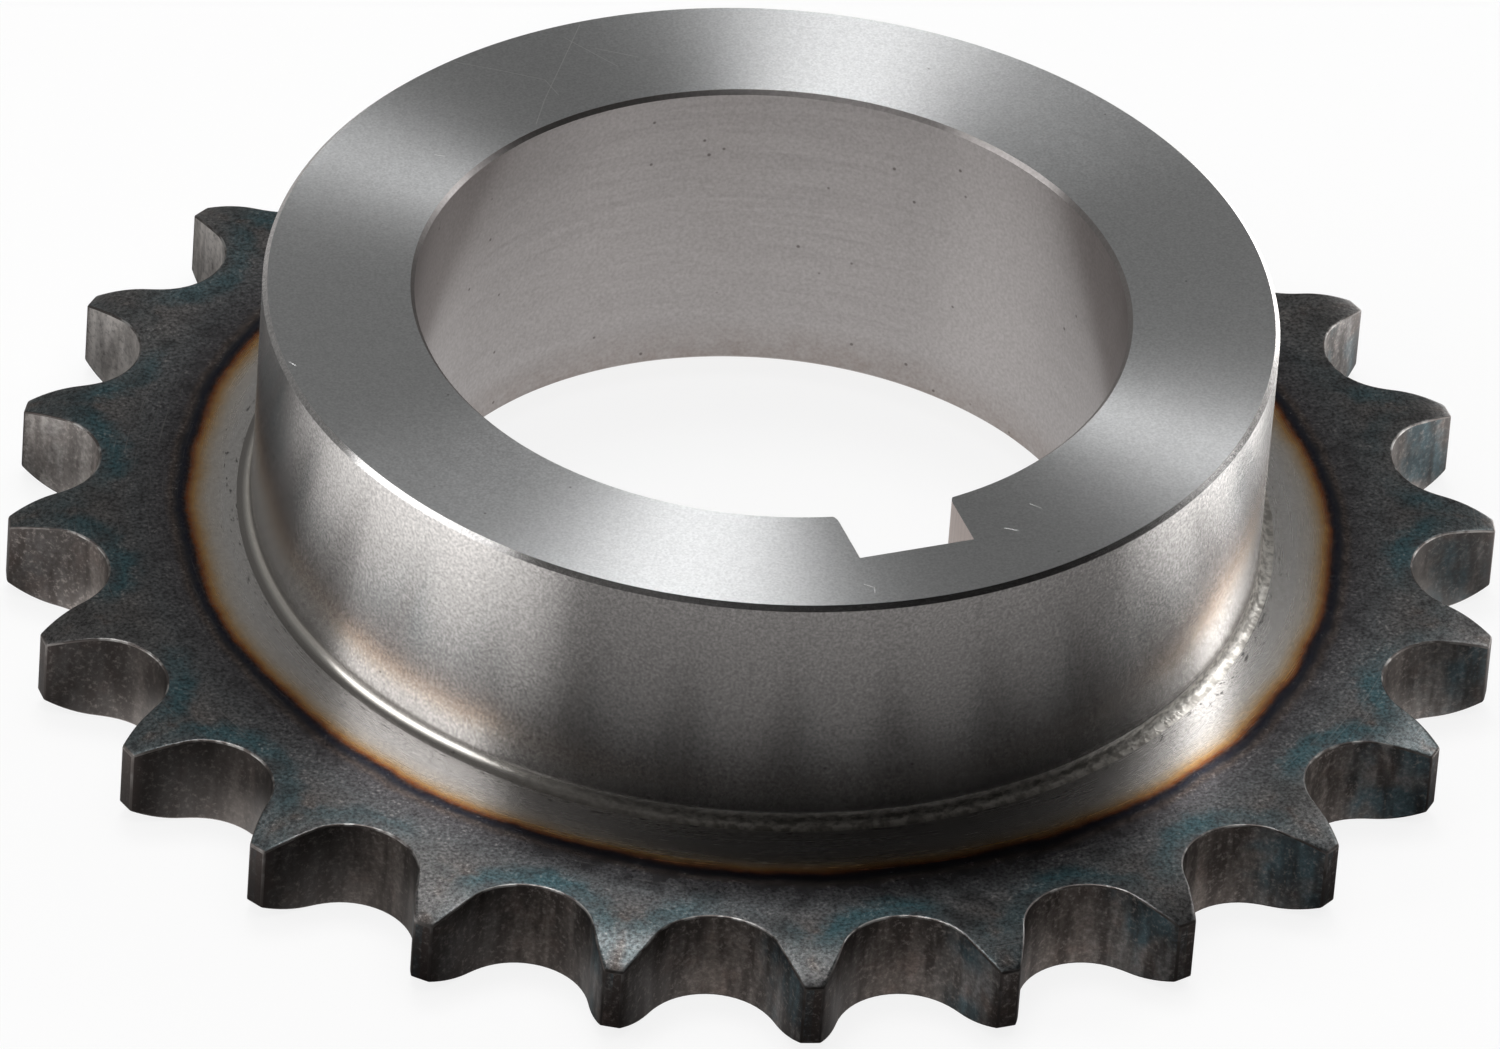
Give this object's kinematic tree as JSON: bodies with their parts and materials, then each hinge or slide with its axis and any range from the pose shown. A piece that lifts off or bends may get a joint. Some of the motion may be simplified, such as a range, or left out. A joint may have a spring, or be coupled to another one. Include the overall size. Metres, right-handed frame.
{
  "type": "chain sprocket",
  "caption": "Roller chain sprocket: a toothed plate turned in one with a thick hub, with a plain bore and one straight keyway.",
  "frame": {"origin": "on the bore's axis, in the plane of the toothed plate's back face", "axes": "+Z along the bore from the plate towards the hub's face, -Y towards the keyway, which lies in line with the middle of a tooth"},
  "size_m": [0.1264, 0.1264, 0.0305],
  "materials": {
    "turned_steel": "turned bright on the hub, heat-darkened on the hardened teeth"
  },
  "bodies": {
    "root": {"sprocket": "turned_steel"}
  },
  "joints": []
}
